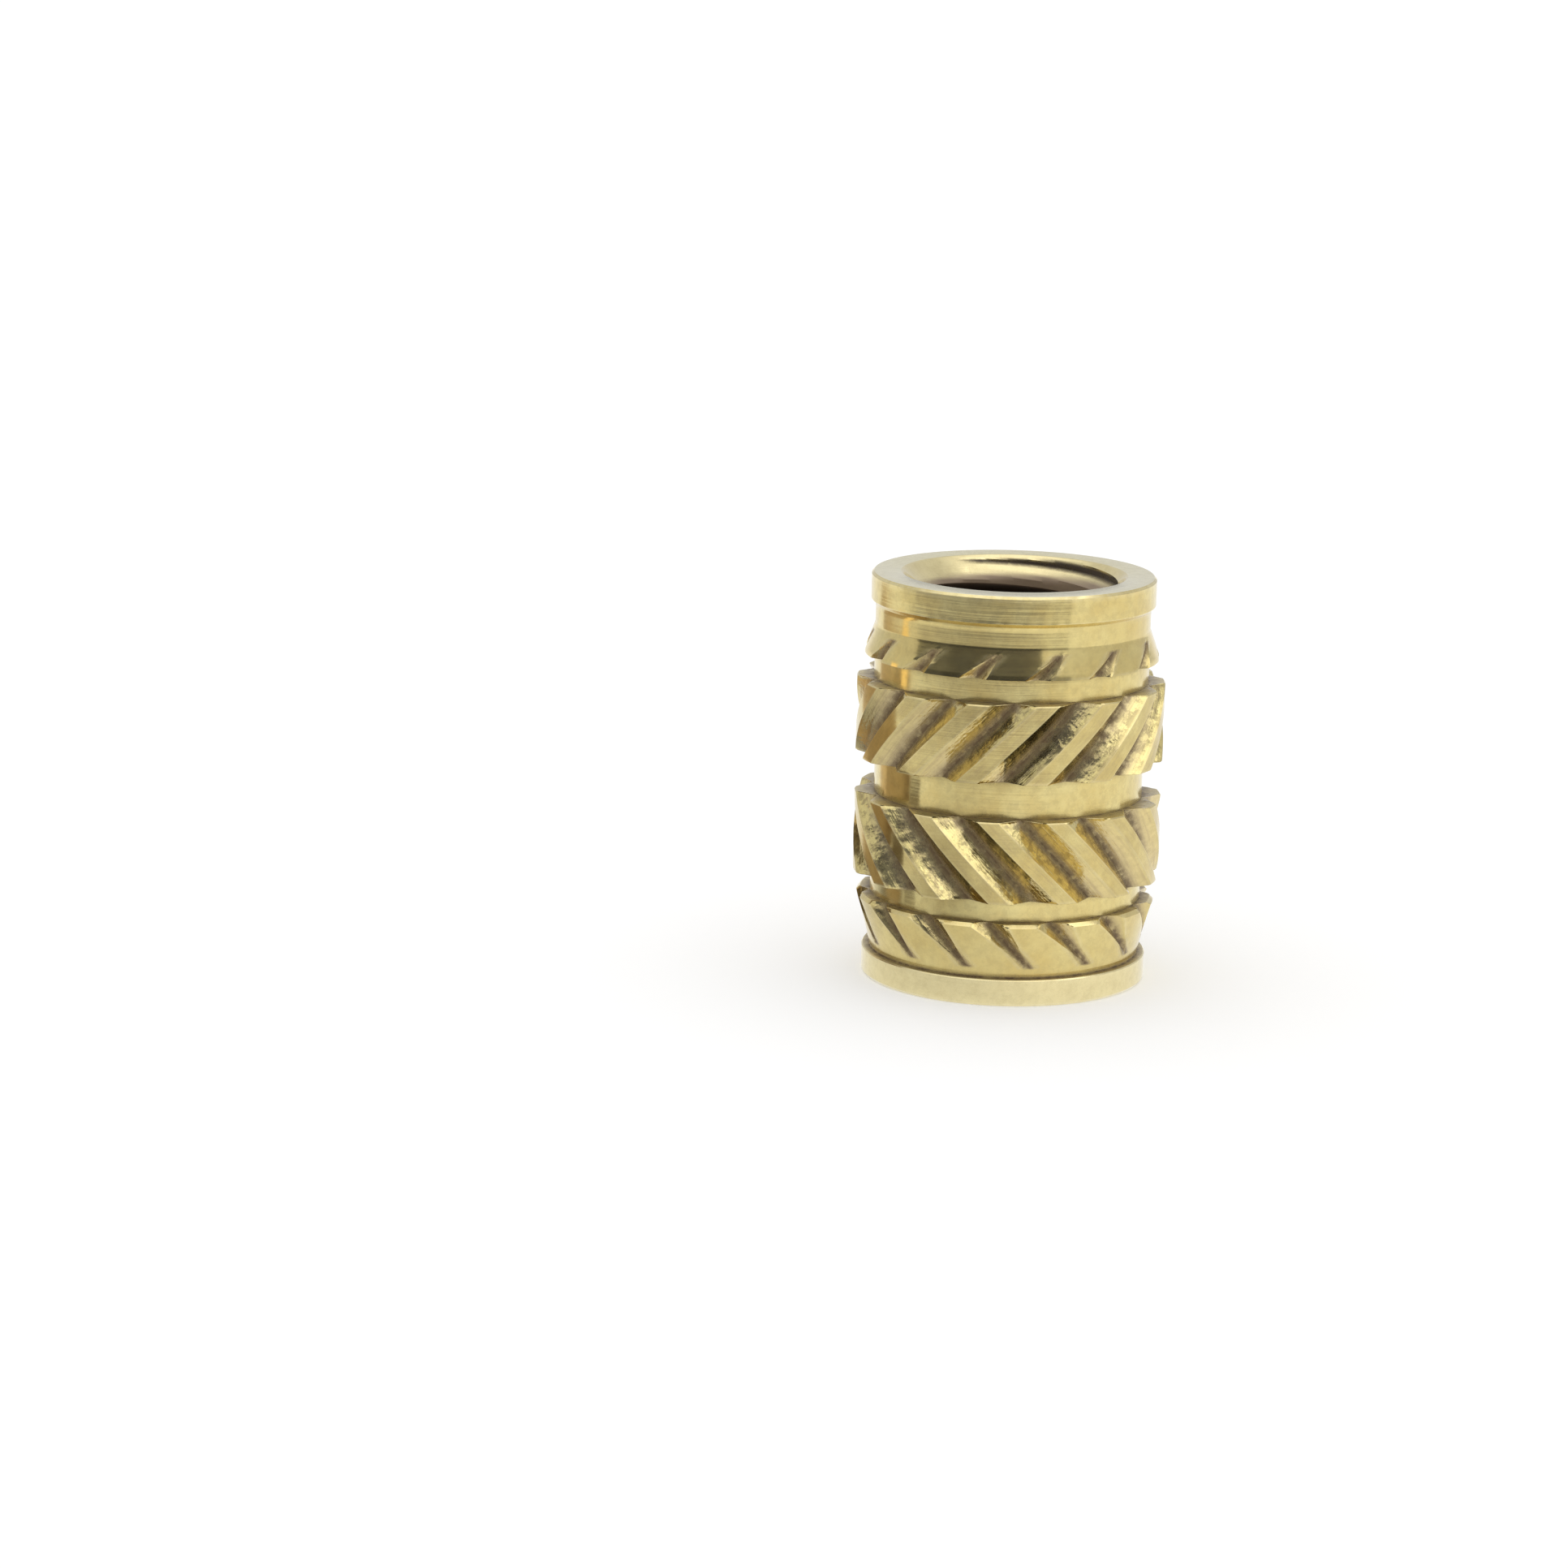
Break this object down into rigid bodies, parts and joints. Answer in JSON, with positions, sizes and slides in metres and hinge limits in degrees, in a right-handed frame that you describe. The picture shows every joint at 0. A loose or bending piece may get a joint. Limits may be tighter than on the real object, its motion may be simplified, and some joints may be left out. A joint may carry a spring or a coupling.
{
  "type": "threaded insert",
  "caption": "Round brass insert that gives plastic a screw thread: threaded bore with countersunk ends, knurled bands of opposed helical teeth, toothed tapers, plain collar and rim.",
  "frame": {"origin": "middle of the bottom face, at the lead-in collar, on the bore axis", "axes": "+Z along the bore from the lead-in collar to the rim; X and Y across the insert, which is round, with helical teeth"},
  "size_m": [0.0072, 0.0072, 0.0095],
  "materials": {
    "brass": "turned and knurled, bright"
  },
  "bodies": {
    "root": {"insert": "brass"}
  },
  "joints": []
}
